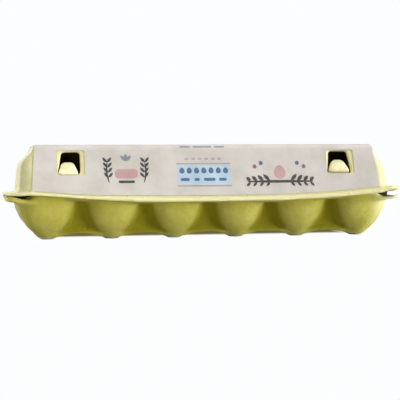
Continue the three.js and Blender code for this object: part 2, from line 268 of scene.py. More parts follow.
def add_object(name, points, faces):
    """New object from points in millimetres."""
    places = np.asarray(points, float) + (0, SET_BACK, 0)
    mesh = bpy.data.meshes.new(name)
    mesh.from_pydata((places * MM).tolist(), [], faces)
    mesh.validate()
    mesh.update()
    piece = bpy.data.objects.new(name, mesh)
    bpy.context.collection.objects.link(piece)
    return piece


def loft(rings):
    """Closed shell through a stack of rings that have equal numbers of points."""
    sides = len(rings[0])
    points = np.vstack(rings)
    faces = [tuple(reversed(range(sides)))]
    for level in range(len(rings) - 1):
        low = level * sides
        high = low + sides
        for side in range(sides):
            after = (side + 1) % sides
            faces.append((low + side, low + after, high + after, high + side))
    last = (len(rings) - 1) * sides
    faces.append(tuple(range(last, last + sides)))
    return points, faces


def joined(shells):
    """Points and faces of several shells as one."""
    points = []
    faces = []
    count = 0
    for shell_points, shell_faces in shells:
        points.append(np.asarray(shell_points, float))
        faces.extend(tuple(index + count for index in face) for face in shell_faces)
        count += len(shell_points)
    return np.vstack(points), faces


def apply_modifiers(piece):
    """Replace the mesh of a piece by what its modifiers make of it."""
    graph = bpy.context.evaluated_depsgraph_get()
    result = bpy.data.meshes.new_from_object(piece.evaluated_get(graph))
    piece.modifiers.clear()
    old = piece.data
    piece.data = result
    result.name = old.name + "_final"
    bpy.data.meshes.remove(old)


def fuse(piece, voxel, relax):
    """Fuse the overlapping shells of a piece, with the soft inner corners of moulded pulp."""
    remesh = piece.modifiers.new("fuse", "REMESH")
    remesh.mode = "VOXEL"
    remesh.voxel_size = voxel * MM
    remesh.adaptivity = 0
    relaxed = piece.modifiers.new("relax", "SMOOTH")
    relaxed.factor = SMOOTHING
    relaxed.iterations = relax
    apply_modifiers(piece)


def cut(piece, cutters):
    """Cut the cutters out of a piece and delete them."""
    for cutter in cutters:
        step = piece.modifiers.new("cut", "BOOLEAN")
        step.operation = "DIFFERENCE"
        step.solver = "EXACT"
        step.object = cutter
    apply_modifiers(piece)
    for cutter in cutters:
        bpy.data.objects.remove(cutter)


def coordinates(piece, kind="co"):
    """Points of a piece in metres, or their normals, one row each."""
    values = np.empty(len(piece.data.vertices) * 3)
    piece.data.vertices.foreach_get(kind, values)
    return values.reshape(-1, 3)


def set_coordinates(piece, places):
    piece.data.vertices.foreach_set("co", np.ascontiguousarray(places).ravel())
    piece.data.update()


def roughen(piece, waves):
    """Move each point along its normal by smooth noise: (wavelength, height) in millimetres."""
    places = coordinates(piece)
    shift = np.zeros(len(places))
    for turn, (wavelength, height) in enumerate(waves):
        scaled = places / (wavelength * MM) + 17.0 * (turn + 1)
        shift += height * MM * np.array([noise.noise(Vector(point)) for point in scaled])
    moved = places + coordinates(piece, "normal") * shift[:, None]
    moved[:, 0] = np.clip(moved[:, 0], -LONGEST_HALF * MM, LONGEST_HALF * MM)
    set_coordinates(piece, moved)


def shade_smooth(piece, sharp_angle=None):
    piece.data.polygons.foreach_set("use_smooth", [True] * len(piece.data.polygons))
    if sharp_angle is not None:
        piece.data.set_sharp_from_angle(angle=math.radians(sharp_angle))
    piece.data.update()


# Rings and outlines

def rectangle_ring(half_length, half_width, corner, height):
    """Rounded rectangle seen from above, with equal numbers of points on every ring."""
    long_steps, short_steps = (round(2 * half / RING_STEP) for half in LID_FLANGE_HALF)
    straight = (half_length - corner, half_width - corner)
    ring = []
    quarters = (
        (1, -1, -0.5, (0, 1), short_steps),
        (1, 1, 0.0, (-1, 0), long_steps),
        (-1, 1, 0.5, (0, -1), short_steps),
        (-1, -1, 1.0, (1, 0), long_steps),
    )
    for sign_x, sign_y, turn, run, steps in quarters:
        angles = (turn + 0.5 * np.arange(CORNER_STEPS + 1) / CORNER_STEPS) * math.pi
        arc = np.stack([
            sign_x * straight[0] + corner * np.cos(angles),
            sign_y * straight[1] + corner * np.sin(angles),
        ], axis=1)
        length = 2 * (straight[1] if run[0] == 0 else straight[0])
        way = length * np.arange(1, steps)[:, None] / steps
        ring.append(arc)
        ring.append(arc[-1] + way * np.array(run))
    flat = np.vstack(ring)
    return np.column_stack([flat, np.full(len(flat), height)])


def left_thinning(x):
    """How much thinner the lip is towards its left end."""
    return LEFT_LIP_THINNING * smooth_step(-x, *LEFT_THINNING_RANGE)


def hang(x):
    """How far the root of the lid's front hangs down."""
    share = np.minimum(1, np.abs((x - HANG_CENTRE) / HANG_HALF_LENGTH))
    bow = HANG_DROP * (1 - share ** HANG_FLATNESS) ** HANG_ROUNDING
    return bow - LIP_RAISE - LIP_SLOPE * x + left_thinning(x)


def lip_dip(x):
    """How much more the flange dips in front."""
    return FRONT_FLANGE_DIP - left_thinning(x)


def lip_low(x):
    """Height of the lower edge of the lid's front lip."""
    return ROOT_HEIGHT - LID_FLANGE_DROP - lip_dip(x) - hang(x)


def front_share(y):
    """Share that a point takes in the shapes of the front: 0 behind, 1 in front."""
    return smooth_step(-y, *FRONT_RANGE)


def hung(ring, dips=False):
    """Ring of the lid with its bowed front, and with the flange's dip where that is asked for."""
    share = front_share(ring[:, 1])
    drop = hang(ring[:, 0]) * share
    result = ring.copy()
    result[:, 1] -= FACE_LEAN * drop
    result[:, 2] -= drop
    if dips:
        result[:, 2] -= lip_dip(ring[:, 0]) * share
    return result


def settled(points):
    """The lid stands a little open, so it gets lower towards its hinge."""
    result = np.array(points, float)
    result[:, 2] -= LID_TILT * (result[:, 1] + ROOT_HALF_WIDTH)
    return result


def cup_half_width(height):
    """Half width of a cup at a height."""
    return smooth_curve(height, CUP_HEIGHTS, CUP_HALF_WIDTHS)


def cup_shell(centre_x, centre_y):
    """One cup: round at the foot, squarer at the rim, and in front up to the lid's lip."""
    angles = np.arange(CUP_SIDES) / CUP_SIDES * 2 * math.pi
    rings = []
    for height in (0, 0.5, *np.linspace(CUP_HEIGHTS[1], CUP_HEIGHTS[-1], CUP_LEVELS)):
        half = cup_half_width(height)
        power = 2 / smooth_curve(height, CUP_HEIGHTS, CUP_SQUARENESS)
        across = np.sign(np.cos(angles)) * np.abs(np.cos(angles)) ** power
        along = np.sign(np.sin(angles)) * np.abs(np.sin(angles)) ** power
        outer = (abs(centre_x) > END_X - 1) & (across * centre_x > 0)
        narrow = half - CUP_SIDE_INSET * smooth_step(height, *CUP_INSET_HEIGHTS)
        rings.append(np.column_stack([
            centre_x + np.where(outer, half, narrow) * across,
            centre_y + half * along,
            np.full(CUP_SIDES, height),
        ]))
    if centre_y < 0:
        top = rings[-1].copy()
        top[:, 0] = np.clip(top[:, 0], -FRONT_WALL_HALF, FRONT_WALL_HALF)
        top[:, 2] = np.maximum(top[:, 2] + 0.1, lip_low(top[:, 0]) + CUP_BEHIND_LIP)
        rings.append(top)
    return loft(rings)


def arch_outline(half_span, top):
    """Outline across a valley: straight at the top, arched between the feet below."""
    share = np.linspace(-1, 1, 15)
    arch = np.column_stack([
        ARCH_HALF_SPAN * share,
        ARCH_FOOT + (ARCH_MIDDLE - ARCH_FOOT) * (1 - share ** 2),
    ])
    ends = [[half_span, ARCH_FOOT], [half_span, top], [-half_span, top], [-half_span, ARCH_FOOT]]
    return np.vstack([ends, arch])


def slab(outline, near, far):
    """Closed shell between two copies of an outline in X and Z, at depths given by height."""
    rings = []
    for depth in (near, far):
        rings.append(np.column_stack([outline[:, 0], depth(outline[:, 1]), outline[:, 1]]))
    return loft(rings)


def even_depth(depth):
    """Depth that is the same at every height."""
    return lambda height: np.full(len(height), depth)


def turned(shell, angle):
    """Shell turned about the upright axis."""
    points, faces = shell
    cos, sin = math.cos(angle), math.sin(angle)
    turn = np.array([[cos, -sin, 0], [sin, cos, 0], [0, 0, 1]])
    return points @ turn.T, faces


def valley_shells(outwards, along, angle):
    """Wall and rib of one valley, moved along its side of the tray and turned to it."""
    top = RIM_HEIGHT - FLANGE_THICKNESS

    def outer(height):
        share = height / top
        return -outwards - (VALLEY_FOOT_OUTSET + (VALLEY_TOP_OUTSET - VALLEY_FOOT_OUTSET) * share)

    def inner(height):
        return outer(height) + VALLEY_THICKNESS

    rib_front = -outwards - RIB_FRONT
    rib_ends = (even_depth(rib_front + RIB_THICKNESS), even_depth(rib_front))
    wall = slab(arch_outline(VALLEY_HALF_SPAN, top), inner, outer)
    rib = slab(arch_outline(RIB_HALF_SPAN, RIB_HEIGHT), *rib_ends)
    shells = []
    for points, faces in (wall, rib):
        shells.append(turned((points + (along, 0, 0), faces), angle))
    return shells


def tip_bend(points, left, right, start, end):
    """Bend the front tips of a flange, by the given heights at its two ends."""
    reach = smooth_step(np.abs(points[:, 0]), start, end) * front_share(points[:, 1])
    points[:, 2] += reach * np.where(points[:, 0] < 0, left, right)
    return points


def tray_piece():
    """Tray: twelve cups on feet, the walls of the valleys between them, and the flange."""
    shells = []
    for column in range(CUPS_IN_ROW):
        for y in (-ROW_Y, ROW_Y):
            shells.append(cup_shell(column * CUP_PITCH - END_X, y))
    for gap in range(1, CUPS_IN_ROW):
        along = (gap - CUPS_IN_ROW / 2) * CUP_PITCH
        shells += valley_shells(ROW_Y, along, 0)
        shells += valley_shells(ROW_Y, along, math.pi)
    shells += valley_shells(END_X, 0, -math.pi / 2)
    shells += valley_shells(END_X, 0, math.pi / 2)
    low = RIM_HEIGHT - FLANGE_THICKNESS
    outer = TRAY_FLANGE_HALF
    inner = (outer[0] - FLANGE_OVERHANG, outer[1] - 2 * FLANGE_DRAFT)
    middle = (outer[0] - FLANGE_MIDDLE_INSET, FLANGE_MIDDLE_WIDTH)
    flange = [rectangle_ring(*half, FLANGE_CORNER, height) for half, height in (
        (middle, low - FLANGE_DRAFT), (inner, low - FLANGE_DRAFT), (outer, low),
        (outer, RIM_HEIGHT), (inner, RIM_HEIGHT), (middle, RIM_HEIGHT),
    )]
    for ring in flange:
        lift = np.maximum(0, lip_low(ring[:, 0]) + RIM_BEHIND_LIP - low) * front_share(ring[:, 1])
        ring[:, 2] += lift * (1 - smooth_step(np.abs(ring[:, 0]), *RIM_RISE_ENDS))
        ring[:, 1] = np.maximum(ring[:, 1], -FRONT_RIM)
    bent = [tip_bend(ring, *TRAY_TIP_LOW) for ring in flange[:3]]
    bent += [tip_bend(ring, *TRAY_TIP_HIGH) for ring in flange[3:]]
    shells.append(loft(bent))
    tray = add_object("tray", *joined(shells))
    fuse(tray, TRAY_STEP, TRAY_ROUNDS)
    roughen(tray, TRAY_WAVES)
    places = coordinates(tray)
    places[places[:, 2] < FLATTENED_FEET * MM, 2] = 0
    set_coordinates(tray, places)
    shade_smooth(tray)
    tray_tones(tray)
    return tray


def set_tone(piece, name, values):
    """Store one value for each point, for the material to read."""
    tone = piece.data.attributes.new(name, "FLOAT", "POINT")
    tone.data.foreach_set("value", np.asarray(values, np.float32))


def tray_tones(tray):
    """Painted shade in the valleys, in the middle and under the lid's lip; painted highlight at the right
    end and round the feet.
    """
    places = coordinates(tray) / MM - (0, SET_BACK, 0)
    away = np.abs(places)
    half = cup_half_width(np.clip(places[:, 2], 0, CUP_HEIGHTS[-1]))
    depth_x = np.where(away[:, 0] > END_X, half - (away[:, 0] - END_X), np.inf)
    depth_y = np.where(away[:, 1] > ROW_Y, half - (away[:, 1] - ROW_Y), np.inf)
    depth = np.minimum(depth_x, depth_y)
    # Painted shade: darker the deeper a point lies in a valley, flat in the middle between the rows, and
    # under the lid's lip
    valley = smooth_step(depth / half, *VALLEY_RANGE)
    painted_shade = np.where(np.isinf(depth), MIDDLE_PAINTED_SHADE, valley)
    below_lip = lip_low(places[:, 0]) - places[:, 2]
    shade = LIP_SHADE * (1 - smooth_step(below_lip, 0, LIP_SHADE_DEPTH))
    shaded = (places[:, 1] < -LIP_SHADE_FRONT) * (away[:, 0] < LIP_SHADE_END)
    painted_shade = np.maximum(painted_shade, shade * shaded)
    set_tone(tray, "painted_shade", painted_shade * smooth_step(places[:, 2], *FOOT_SHADE_FADE_HEIGHTS))
    # Painted highlight at the right end and round the feet
    right = TRAY_RIGHT_PAINTED_LIGHT * smooth_step(places[:, 0], *TRAY_RIGHT_RANGE)
    foot = FOOT_PAINTED_LIGHT * (1 - smooth_step(places[:, 2], *FOOT_PAINTED_LIGHT_HEIGHTS))
    set_tone(tray, "pale", np.maximum(right, foot))


# Lid

def lid_half_width(height):
    """Half width of the straight part of the lid, with the round fold at its top."""
    if height <= FOLD_START:
        return ROOT_HALF_WIDTH - FACE_LEAN * (height - ROOT_HEIGHT)
    rise = height - (LID_TOP - FOLD_RADIUS)
    return FOLD_CENTRE + math.sqrt(max(0.0, FOLD_RADIUS ** 2 - rise ** 2))


def opening_outline(opening, margin=0.0):
    """Outline of an opening in X and height, with rounded corners."""
    low, high, foot_left, foot_right, top_left, top_right = opening
    corners = np.array([
        (foot_right + margin, low - margin), (top_right + margin, high + margin),
        (top_left - margin, high + margin), (foot_left - margin, low - margin),
    ])
    points = []
    for index, corner in enumerate(corners):
        before = corners[index - 1] - corner
        after = corners[(index + 1) % 4] - corner
        start = corner + before / np.linalg.norm(before) * WINDOW_CORNER
        end = corner + after / np.linalg.norm(after) * WINDOW_CORNER
        for share in np.linspace(0, 1, 5):
            points.append((1 - share) ** 2 * start + 2 * share * (1 - share) * corner
                          + share ** 2 * end)
    return np.array(points)


def window_cutters(opening):
    """Opening through the lid's face, wider at its mouth, and the hollow behind it."""
    face = -lid_half_width(WINDOW_MIDDLE)
    rings = []
    for depth, margin in WINDOW_DEPTHS:
        outline = opening_outline(opening, margin)
        slope = FACE_LEAN * (outline[:, 1] - WINDOW_MIDDLE) * (depth > WINDOW_DEPTHS[-1][0])
        rings.append(np.column_stack([outline[:, 0], face + depth + slope, outline[:, 1]]))
    middle = (opening[2] + opening[3]) / 2
    back = slab(
        np.array(HOLLOW, float) + (middle, 0),
        even_depth(face + HOLLOW_FAR),
        lambda height: face + HOLLOW_NEAR + FACE_LEAN * (height - WINDOW_MIDDLE),
    )
    shells = (loft(rings), back)
    return [add_object("cutter", settled(points), faces) for points, faces in shells]


def core_ring(height):
    """Ring of the filling between tray and lid, which stays behind the front lip."""
    ring = rectangle_ring(*CORE_HALF, CORE_CORNER, height)
    ring[:, 1] = np.maximum(ring[:, 1], -CORE_FRONT)
    return ring


def lid_piece():
    """Lid with its flange, the hinge roll at the back and the two latch windows."""
    shell = []
    for height in LID_LEVELS:
        half_length = smooth_curve(height, LID_HEIGHTS, LID_HALF_LENGTHS)
        ring = rectangle_ring(
            half_length, lid_half_width(height),
            np.interp(height, LID_HEIGHTS, LID_CORNERS), height,
        )
        left_length = smooth_curve(height, LEFT_END_HEIGHTS, LEFT_END_LENGTHS)
        ring[:, 0] -= (left_length - half_length) * smooth_step(-ring[:, 0], *LEFT_END_RANGE)
        shell.append(settled(hung(ring) if height == ROOT_HEIGHT else ring))
    core = [core_ring(RIM_HEIGHT - 1), settled(core_ring(ROOT_HEIGHT + 1))]
    low = ROOT_HEIGHT - LID_FLANGE_DROP
    high = low + LID_FLANGE_THICKNESS
    root_length = LID_HALF_LENGTHS[0]
    flange = [
        hung(core_ring(low - 0.3), True),
        hung(rectangle_ring(*LID_FLANGE_HALF, FLANGE_CORNER + 1, low), True),
        hung(rectangle_ring(*LID_FLANGE_HALF, FLANGE_CORNER + 1, high), True),
        hung(rectangle_ring(root_length + 1, ROOT_HALF_WIDTH + 1, LID_CORNERS[0], ROOT_HEIGHT)),
        hung(rectangle_ring(*CORE_HALF, CORE_CORNER, ROOT_HEIGHT + 1)),
    ]
    flange = [settled(tip_bend(ring, *LID_TIP)) for ring in flange]
    hinge = np.array(HINGE_OUTLINE)
    rings = []
    for x in (HINGE_HALF_LENGTH, -HINGE_HALF_LENGTH):
        rings.append(np.column_stack([np.full(len(hinge), x), hinge]))
    lid = add_object("lid", *joined([loft(shell), loft(core), loft(flange), loft(rings)]))
    fuse(lid, LID_STEP, 0)
    cut(lid, window_cutters(LEFT_WINDOW) + window_cutters(RIGHT_WINDOW))
    fuse(lid, LID_STEP, LID_ROUNDS)
    roughen(lid, LID_WAVES)
    flatten_under_label(lid)
    shade_smooth(lid)
    lid_tones(lid)
    return lid


def lid_coordinates(lid):
    """Points of the lid in millimetres, with their heights and half widths before the tilt."""
    places = coordinates(lid) / MM - (0, SET_BACK, 0)
    height = places[:, 2] + LID_TILT * (places[:, 1] + ROOT_HALF_WIDTH)
    return places, height, np.array([lid_half_width(min(h, LID_TOP)) for h in height])


def lid_tones(lid):
    """Painted shade in the windows and between the flanges, painted highlight on the lip, the right end and
    the frames.
    """
    places, height, face = lid_coordinates(lid)
    x, y = places[:, 0], places[:, 1]
    above_root = height - (ROOT_HEIGHT - hang(x) * front_share(y))
    inwards = np.minimum(LID_FLANGE_HALF[0] - np.abs(x), LID_FLANGE_HALF[1] - np.abs(y))
    # Painted shade in the slot between the flanges and in the hollows behind the windows
    between = smooth_step(inwards, *FLANGE_PAINTED_SHADE_RANGE) * (above_root < -LID_FLANGE_DROP - 0.1)
    low, high = WINDOW_PAINTED_SHADE_HEIGHTS
    behind = smooth_step(y + face, *WINDOW_PAINTED_SHADE_RANGE) * (y < 0) * (height > low) * (height < high)
    window = np.zeros(len(places))
    frame = np.zeros(len(places))
    for opening, cut_out in ((LEFT_WINDOW, LEFT_CUT_OUT), (RIGHT_WINDOW, RIGHT_CUT_OUT)):
        left, right = opening[2] - WINDOW_PAINTED_SHADE_REACH, opening[3] + WINDOW_PAINTED_SHADE_REACH
        window = np.maximum(window, (x > left) & (x < right))
        frame = np.maximum(frame, (x > cut_out[2] - 1) & (x < cut_out[3] + 1)
                           & (height > cut_out[0] - 1) & (height < cut_out[1] + 1) & (y < -30))
    set_tone(lid, "painted_shade", np.maximum(between, behind * window))
    # Painted highlight on the lip, at the right end and on the window frames
    lip = LIP_PAINTED_LIGHT * (1 - smooth_step(above_root, *LIP_PAINTED_LIGHT_HEIGHTS))
    end = LID_RIGHT_PAINTED_LIGHT * smooth_step(x, *LID_RIGHT_RANGE)
    set_tone(lid, "pale", np.maximum.reduce([lip, end, FRAME_PAINTED_LIGHT * frame]))


def flatten_under_label(lid):
    """Keep the front, top and back of the lid just below the paper that is glued on them."""
    places, height, limit = lid_coordinates(lid)
    covered = (places[:, 0] > LABEL_FOOT_ENDS[0]) & (places[:, 0] < LABEL_FOOT_ENDS[1])
    foot = np.where(places[:, 1] < 0, LABEL_FRONT_HEIGHT - hang(places[:, 0]), LABEL_BACK_HEIGHT)
    side = covered & (height > foot - 1.5) & (height < LID_TOP - 1)
    wide = side & (np.abs(places[:, 1]) > limit - LABEL_SINK) & (np.abs(places[:, 1]) < limit + 2)
    places[wide, 1] = (np.sign(places[:, 1]) * (limit - LABEL_SINK))[wide]
    top = covered & (np.abs(places[:, 1]) < TOP_HALF) & (height > LID_TOP - LABEL_SINK)
    places[top, 2] += (LID_TOP - LABEL_SINK - height)[top]
    set_coordinates(lid, (places + (0, SET_BACK, 0)) * MM)


def tongue_piece(name, centre_x, widths, drop):
    """Tongue of the tray that stands in a latch window and noses out over its lower edge."""
    outline = np.array([
        (-lid_half_width(height - drop) - proud, height - drop)
        for height, proud in TONGUE_OUTLINE
    ])
    centre = outline.mean(axis=0)
    rings = []
    for share in TONGUE_SECTIONS:
        soft = outline + (centre - outline) * 0.3 * abs(share) ** 6
        half = np.interp(soft[:, 1] + drop, TONGUE_HEIGHTS, widths) / 2
        rings.append(np.column_stack([centre_x + share * half, soft]))
    points, faces = loft(rings)
    tongue = add_object(name, settled(points), faces)
    fuse(tongue, TONGUE_STEP, TONGUE_ROUNDS)
    roughen(tongue, TONGUE_WAVES)
    shade_smooth(tongue)
    return tongue


# Label

FRONT_RUN = (LID_TOP - ROOT_HEIGHT) / math.cos(FACE_ANGLE) - TANGENT
ARC_RUN = FOLD_RADIUS * BEND
TOP_HALF = lid_half_width(LID_TOP)
HALF_RUN = FRONT_RUN + ARC_RUN + TOP_HALF


def run_at_height(height):
    """Way up the front face from the lid's root to a height."""
    return (height - ROOT_HEIGHT) / math.cos(FACE_ANGLE)


def sheet_ripple(x, run):
    """Slight waves of the glued paper."""
    value = noise.noise(Vector((x / 34, run / 26, 3.7)))
    fine = noise.noise(Vector((x / 9, run / 12, 8.1)))
    return 0.10 * value + 0.03 * fine


def sheet_point(x, run, lift):
    """Place on the label at X and at a way from the lid's front root, over to the back."""
    side = -1
    way = run
    if run > HALF_RUN:
        side = 1
        way = 2 * HALF_RUN - run
    raised = LABEL_GAP + lift + sheet_ripple(x, run)
    if way <= FRONT_RUN:
        y = ROOT_HALF_WIDTH - way * math.sin(FACE_ANGLE)
        z = ROOT_HEIGHT + way * math.cos(FACE_ANGLE)
        normal = (math.cos(FACE_ANGLE), math.sin(FACE_ANGLE))
    elif way <= FRONT_RUN + ARC_RUN:
        angle = FACE_ANGLE + (way - FRONT_RUN) / FOLD_RADIUS
        y = TOP_HALF + FOLD_RADIUS * math.cos(angle)
        z = LID_TOP - FOLD_RADIUS + FOLD_RADIUS * math.sin(angle)
        normal = (math.cos(angle), math.sin(angle))
    else:
        y = HALF_RUN - way
        z = LID_TOP
        normal = (0.0, 1.0)
    place_y = side * (y + raised * normal[0])
    return (x, place_y, z + raised * normal[1] - LID_TILT * (place_y + ROOT_HALF_WIDTH))


def inside(points, outline):
    """Which points lie inside a closed outline."""
    x, y = points[:, 0], points[:, 1]
    result = np.zeros(len(points), bool)
    for (x1, y1), (x2, y2) in zip(outline, np.roll(outline, -1, axis=0)):
        crosses = (y1 > y) != (y2 > y)
        if y1 != y2:
            result ^= crosses & (x < (x2 - x1) * (y - y1) / (y2 - y1) + x1)
    return result


def between_loops(points, loops):
    """Which points lie inside the first loop and outside the others."""
    result = inside(points, loops[0])
    for loop in loops[1:]:
        result &= ~inside(points, loop)
    return result


def fine_runs(low, high):
    """Ways up the label at which it gets points: close together over the two folds."""
    marks = np.concatenate([
        np.arange(-8, FRONT_RUN, SHEET_STEP),
        np.linspace(FRONT_RUN, FRONT_RUN + ARC_RUN, 8),
    ])
    top = np.linspace(FRONT_RUN + ARC_RUN, 2 * HALF_RUN - FRONT_RUN - ARC_RUN, 16)[1:-1]
    every = np.concatenate([marks, top, 2 * HALF_RUN - marks])
    return every[(every > low) & (every < high)]


def densified(outline):
    """Outline with points added along its long sides."""
    result = []
    for start, end in zip(outline, np.roll(outline, -1, axis=0)):
        count = max(1, int(np.ceil(np.linalg.norm(end - start) / SHEET_STEP)))
        for index in range(count):
            result.append(start + (end - start) * index / count)
    return np.array(result)


def flat_mesh(outline, holes=()):
    """Triangles of a flat outline with holes, with points inside so that it can bend."""
    loops = [densified(np.asarray(loop, float)) for loop in (outline, *holes)]
    points = []
    edges = []
    for loop in loops:
        start = len(points)
        points.extend(loop.tolist())
        edges.extend((start + i, start + (i + 1) % len(loop)) for i in range(len(loop)))
    low, high = loops[0].min(axis=0), loops[0].max(axis=0)
    columns = np.arange(low[0] + SHEET_STEP / 2, high[0], SHEET_STEP)
    grid = [(x, run) for run in fine_runs(low[1], high[1]) for x in columns]
    grid = np.array(grid).reshape(-1, 2)
    grid = grid[between_loops(grid, loops)]
    away = np.linalg.norm(grid[:, None, :] - np.vstack(loops)[None, :, :], axis=2).min(axis=1)
    points.extend(grid[away > LEAST_GAP].tolist())
    result = delaunay_2d_cdt([Vector(point) for point in points], edges, [], 0, 1e-5)
    flat = np.array([tuple(point) for point in result[0]])
    triangles = np.array([tuple(face) for face in result[2]])
    return flat, triangles[between_loops(flat[triangles].mean(axis=1), loops)]


def sheet_shell(outline, low, high, holes=()):
    """Closed thin shell over the label between two heights above its under side."""
    flat, triangles = flat_mesh(outline, holes)
    count = len(flat)
    points = [sheet_point(x, run, lift) for lift in (high, low) for x, run in flat]
    faces = []
    edges = []
    for a, b, c in triangles.tolist():
        ab = flat[b] - flat[a]
        ac = flat[c] - flat[a]
        face = (a, b, c) if ab[0] * ac[1] - ab[1] * ac[0] > 0 else (a, c, b)
        faces.append(face)
        faces.append(tuple(index + count for index in reversed(face)))
        edges += zip(face, face[1:] + face[:1])
    shared = {(end, start) for start, end in edges}
    for start, end in edges:
        if (start, end) not in shared:
            faces.append((start, start + count, end + count, end))
    used = sorted({index for face in faces for index in face})
    place = {index: new for new, index in enumerate(used)}
    kept = [points[index] for index in used]
    return kept, [tuple(place[index] for index in face) for face in faces]


def label_outline():
    """Edge of the paper: its lower front edge follows the bowed flange of the lid."""
    columns = np.linspace(*LABEL_FOOT_ENDS, 60)
    front = [(x, run_at_height(LABEL_FRONT_HEIGHT - hang(x))) for x in columns]
    fold = FRONT_RUN + ARC_RUN
    back_run = 2 * HALF_RUN - run_at_height(LABEL_BACK_HEIGHT)
    left, right = LABEL_TOP_ENDS
    return np.array(front + [
        (right, fold), (right, 2 * HALF_RUN - fold), (LABEL_FOOT_ENDS[1], back_run),
        (LABEL_FOOT_ENDS[0], back_run), (left, 2 * HALF_RUN - fold), (left, fold),
    ])


def label_piece():
    """Paper sheet over the lid, with a cut-out round each latch window."""
    holes = []
    for opening in (LEFT_CUT_OUT, RIGHT_CUT_OUT):
        holes.append([(x, run_at_height(z)) for x, z in opening_outline(opening)])
    shell = sheet_shell(label_outline(), 0.0, LABEL_THICKNESS, holes)
    label = add_object("label_sheet", *shell)
    shade_smooth(label, SHARP_EDGE)
    return label


# Print: plain shapes on the label, each an outline in X and way up the sheet

INKS = {
    "pale_blue": "a9c4d4",
    "rose": "b58f8f",
    "grey": "9c9ba0",
    "slate": "77808c",
    "dark_blue": "3f5f86",
    "red": "8d5560",
    "dark": "2e2a2d",
}
# Each ink lies a little over the one before it
INK_LIFT = 0.03
INK_STEP = 0.012
INK_SINK = 0.08
STROKE_TAPER = 0.35
GRAIN_MIDDLE = (-62.0, 13.6)
GRAIN_EAR = ((13, -7), (14.5, 1), (14, 9))
PANEL_MIDDLE = (-4.0, 12.4)
PANEL_DASHES = ((-14.5, 7), (-5.5, 4), (4.0, 9), (14.0, 6))
FOLD_RULES = ((-13, 8), (0, 14), (13, 8))
STEM_MIDDLE = (54.0, 11.6)
STEM_WAYS = (-25, -8, 8, 25)
STEM_LEAVES = 4
TOP_EGGS = 9
TOP_PITCH = 21
BACK_LINE = 18
BACK_PANEL_X = -62
BACK_DASHES = ((-16, 9), (-6.6, 6), (4, 11), (15.5, 8))
BACK_LINES = (66, 60, 70, 52, 64)
BACK_PATCH_X = 86


def placed(flat, x, run, turn):
    """Outline turned about its own origin, then moved to its place."""
    cos, sin = math.cos(turn), math.sin(turn)
    return flat @ np.array([[cos, sin], [-sin, cos]]) + (x, run)


def bar(x, run, width, height):
    """Bar with rounded ends, about its middle."""
    radius = height / 2
    points = []
    for side, start in ((1, -0.5), (-1, 0.5)):
        for step in range(7):
            angle = (start + step / 6) * math.pi
            points.append((side * (width / 2 - radius) + radius * math.cos(angle),
                           radius * math.sin(angle)))
    return np.array(points) + (x, run)


def block(x, run, width, height, corner):
    """Rectangle with slightly rounded corners, about its middle."""
    points = []
    for sign_x, sign_y, turn in ((1, -1, -0.5), (1, 1, 0), (-1, 1, 0.5), (-1, -1, 1)):
        for step in range(4):
            angle = (turn + 0.5 * step / 3) * math.pi
            points.append((
                x + sign_x * (width / 2 - corner) + corner * math.cos(angle),
                run + sign_y * (height / 2 - corner) + corner * math.sin(angle),
            ))
    return np.array(points)


def egg(x, run, width, height, turn=0.0):
    """Egg outline, blunt end down."""
    angles = np.arange(28) / 28 * 2 * math.pi
    lift = np.sin(angles)
    flat = np.column_stack([
        width / 2 * np.cos(angles) * (1 - 0.16 * lift),
        height / 2 * lift,
    ])
    return placed(flat, x, run, turn)


def leaf(x, run, length, width, degrees):
    """Pointed leaf that starts at a point and runs in one direction."""
    share = np.linspace(0, 1, 9)
    half = width / 2 * np.sin(share * math.pi) ** 0.8
    flat = np.vstack([
        np.column_stack([share * length, -half]),
        np.column_stack([share[::-1][1:-1] * length, half[::-1][1:-1]]),
    ])
    return placed(flat, x, run, math.radians(degrees))


def stroke(points, width):
    """Brush stroke along a smooth line through points, thinner at both ends."""
    points = np.asarray(points, float)
    marks = np.arange(len(points))
    fine = np.linspace(0, len(points) - 1, 6 * len(points))
    line = np.column_stack([
        [smooth_curve(t, marks, points[:, axis]) for t in fine] for axis in (0, 1)
    ])
    along = np.gradient(line, axis=0)
    along /= np.linalg.norm(along, axis=1)[:, None]
    share = np.linspace(0, 1, len(fine))
    half = width / 2 * (STROKE_TAPER + (1 - STROKE_TAPER) * np.sin(share * math.pi) ** 0.7)
    across = np.column_stack([-along[:, 1], along[:, 0]]) * half[:, None]
    return np.vstack([line - across, (line + across)[::-1]])


def grain_print(x, run):
    """Rose patch between two upright ears of grain, over a short bar and under three leaves."""
    yield "rose", block(x, run, 17, 7.4, 2.6)
    yield "dark", bar(x, run - 6.4, 12, 2.0)
    for side in (-1, 1):
        ear = np.array([(x + side * away, run + up) for away, up in GRAIN_EAR])
        yield "dark", stroke(ear, 1.2)
        for step in range(4):
            foot = ear[0] + (ear[-1] - ear[0]) * (step + 1) / 4
            for lean in (-38, 38):
                yield "dark", leaf(*foot, 5.2, 2.0, 90 + lean)
    for step in range(3):
        yield "slate", leaf(x, run + 10, 6.0, 2.6, 50 + 40 * step)


def panel_print(x, run):
    """Pale blue field between grey rules, with two rows of marks, and small marks above it."""
    yield "pale_blue", block(x, run, 40, 15, 1.0)
    for side in (-1, 1):
        yield "grey", block(x, run + side * 8.9, 41, 1.2, 0.3)
    for step in range(7):
        yield "dark_blue", egg(x - 16.5 + 5.5 * step, run + 3.4, 3.8, 4.8)
    for offset, width in PANEL_DASHES:
        yield "dark_blue", bar(x + offset, run - 3.8, width, 2.4)
    for step in range(6):
        yield "grey", bar(x - 12.5 + 5 * step, run + 12.8, 3.0, 1.9)
    for offset, width in FOLD_RULES:
        yield "slate", bar(x + offset, FRONT_RUN + 2.6, width, 1.6)


